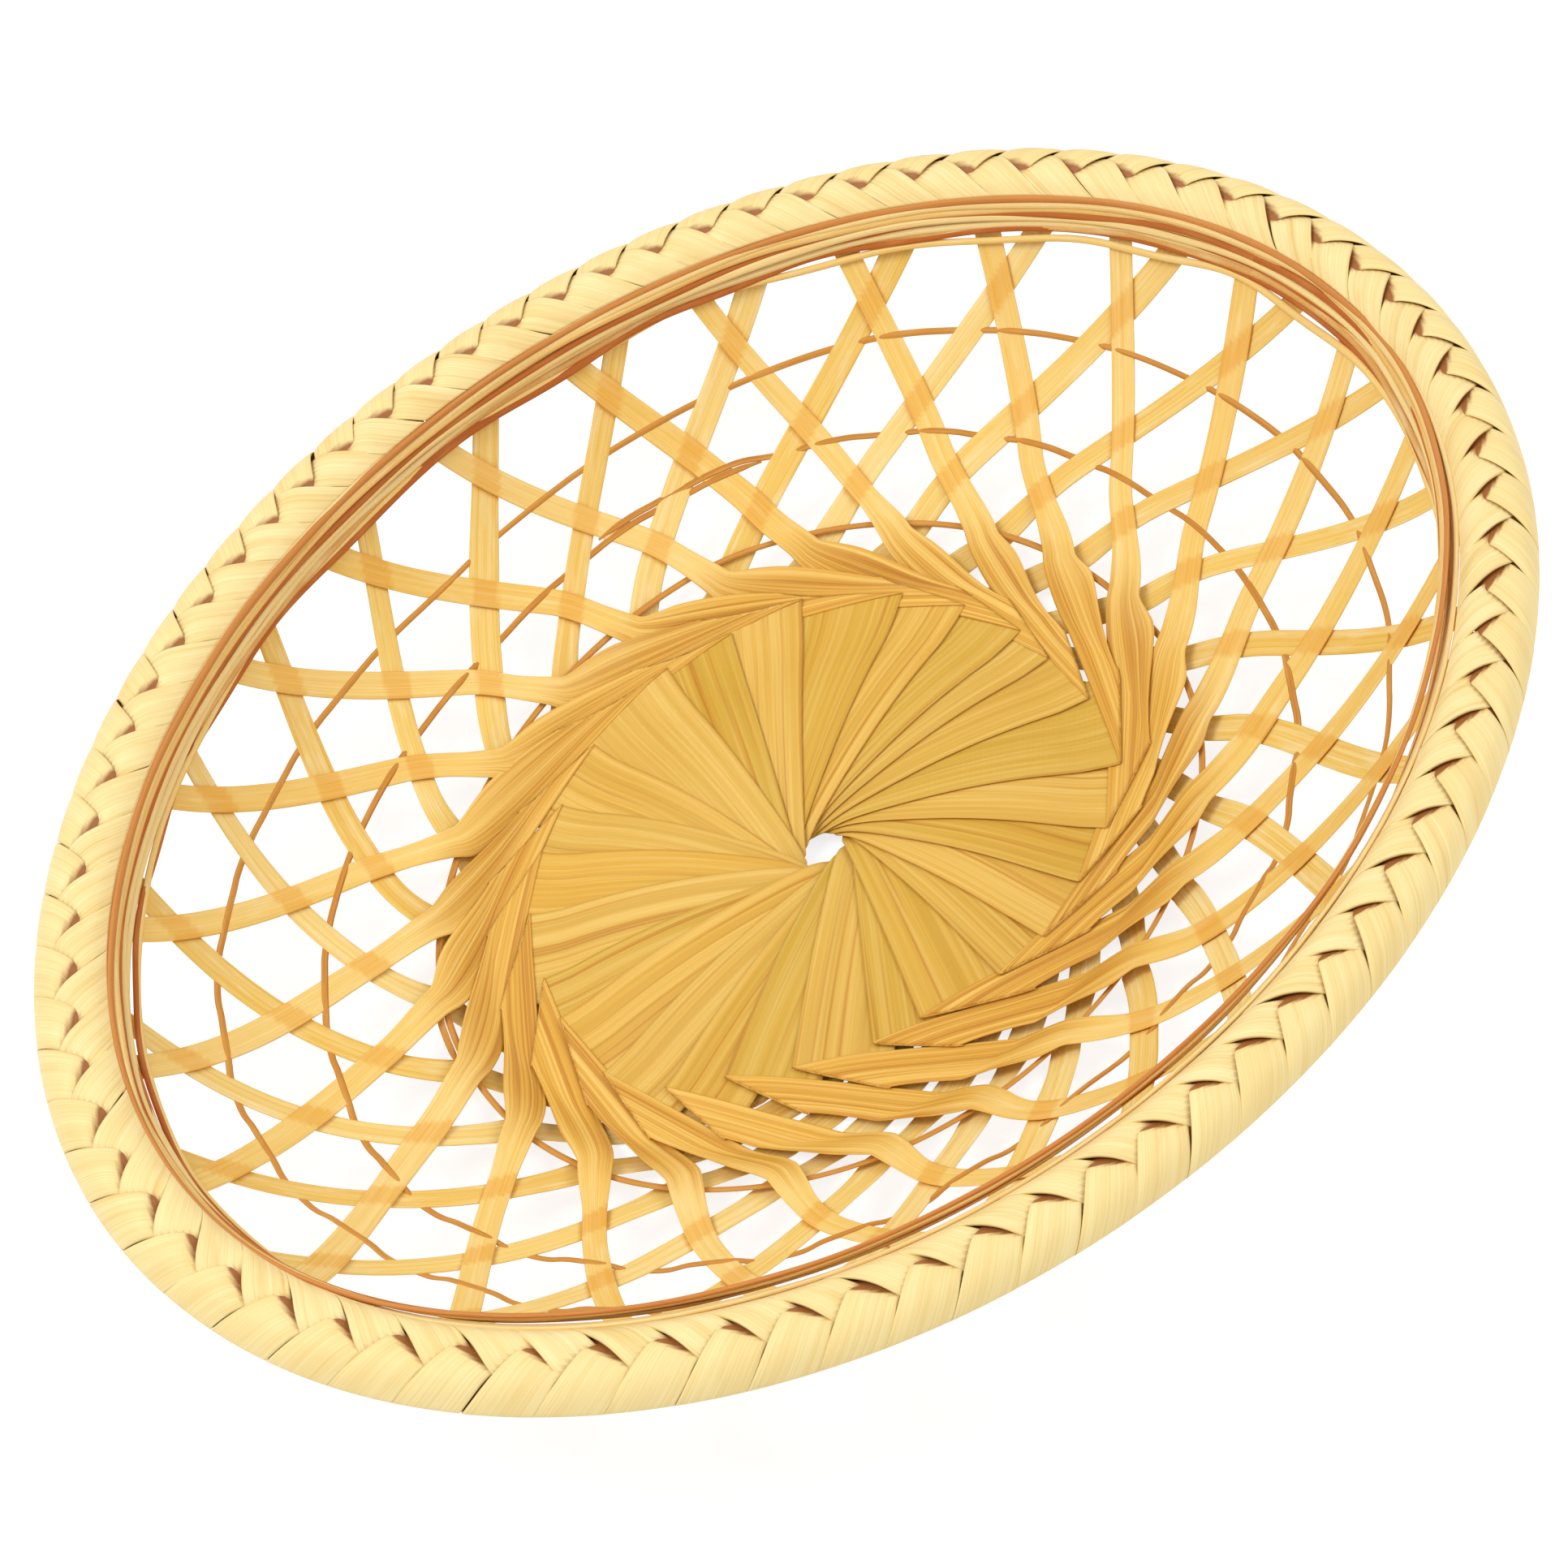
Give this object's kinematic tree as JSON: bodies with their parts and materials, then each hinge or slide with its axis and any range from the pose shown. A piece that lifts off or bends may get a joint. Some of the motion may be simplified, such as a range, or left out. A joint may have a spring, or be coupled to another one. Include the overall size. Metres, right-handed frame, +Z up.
{
  "type": "bread basket",
  "caption": "Oval open-lattice split-bamboo bread basket with a pinwheel base, woven hoops and a plaited rim, for holding bread or fruit.",
  "frame": {"origin": "centre of the footprint, on the surface the basket stands on", "axes": "+X along the long axis of the oval, +Z up out of the open top"},
  "size_m": [0.2508, 0.198, 0.0423],
  "materials": {
    "blade": "satin, golden split bamboo",
    "hoop": "matte, darker orange-brown bamboo splint",
    "core": "matte bamboo rod",
    "plait": "satin, pale cream bamboo"
  },
  "bodies": {
    "root": {"stake_01": "blade", "stake_02": "blade", "stake_03": "blade", "stake_04": "blade", "stake_05": "blade", "stake_06": "blade", "stake_07": "blade", "stake_08": "blade", "stake_09": "blade", "stake_10": "blade", "stake_11": "blade", "stake_12": "blade", "stake_13": "blade", "stake_14": "blade", "stake_15": "blade", "stake_16": "blade", "stake_17": "blade", "stake_18": "blade", "stake_19": "blade", "stake_20": "blade", "stake_21": "blade", "stake_22": "blade", "stake_23": "blade", "stake_24": "blade", "stake_25": "blade", "lower_hoop": "hoop", "middle_hoop": "hoop", "upper_hoop": "hoop", "rim_core": "core", "rim_strand_1": "hoop", "rim_strand_2": "hoop", "rim_strand_3": "hoop", "plait_strand_1": "plait", "plait_strand_2": "plait", "plait_strand_3": "plait"}
  },
  "joints": []
}
